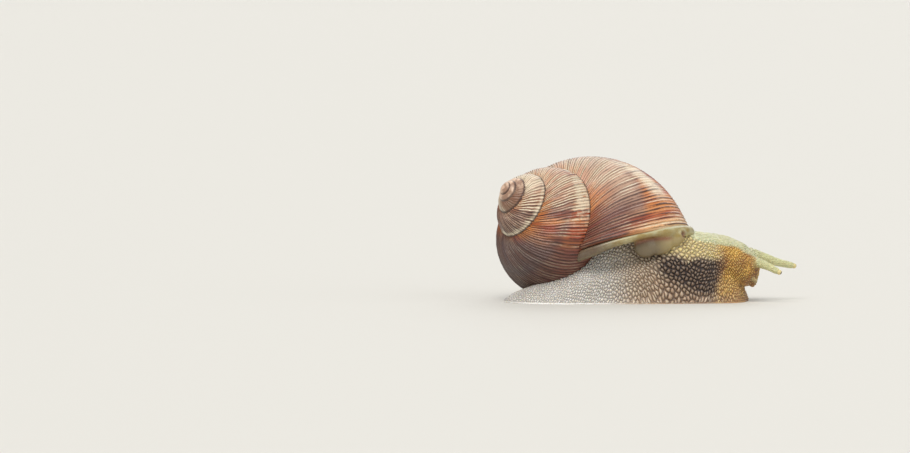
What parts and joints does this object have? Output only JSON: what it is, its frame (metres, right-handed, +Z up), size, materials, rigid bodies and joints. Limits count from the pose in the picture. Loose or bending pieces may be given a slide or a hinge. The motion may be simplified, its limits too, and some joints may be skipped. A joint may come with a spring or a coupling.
{
  "type": "land snail",
  "caption": "Life-size still model of an adult land snail crawling with its neck stretched forward, under a coiled right-handed shell.",
  "frame": {"origin": "a point on the flat underside of the sole, on the floor, below the middle of the body", "axes": "+X towards the head, +Y to the animal's left, +Z up"},
  "size_m": [0.0663, 0.0352, 0.0315],
  "materials": {
    "shell": "satin, limy, with fine growth ridges, rust brown with paler and darker streaks",
    "skin": "wet, warty skin, beige to yellow brown",
    "mantle": "wet and smooth, yellow",
    "tentacle": "wet and finely grained, pale yellow",
    "eye": "glossy, dark"
  },
  "bodies": {
    "root": {"shell": "shell", "mantle": "mantle", "tail": "skin", "foot": "skin", "neck": "skin", "head": "skin", "tentacle_upper_left": "tentacle", "tentacle_upper_right": "tentacle", "tentacle_lower_left": "tentacle", "tentacle_lower_right": "tentacle", "eye_left": "eye", "eye_right": "eye"}
  },
  "joints": []
}
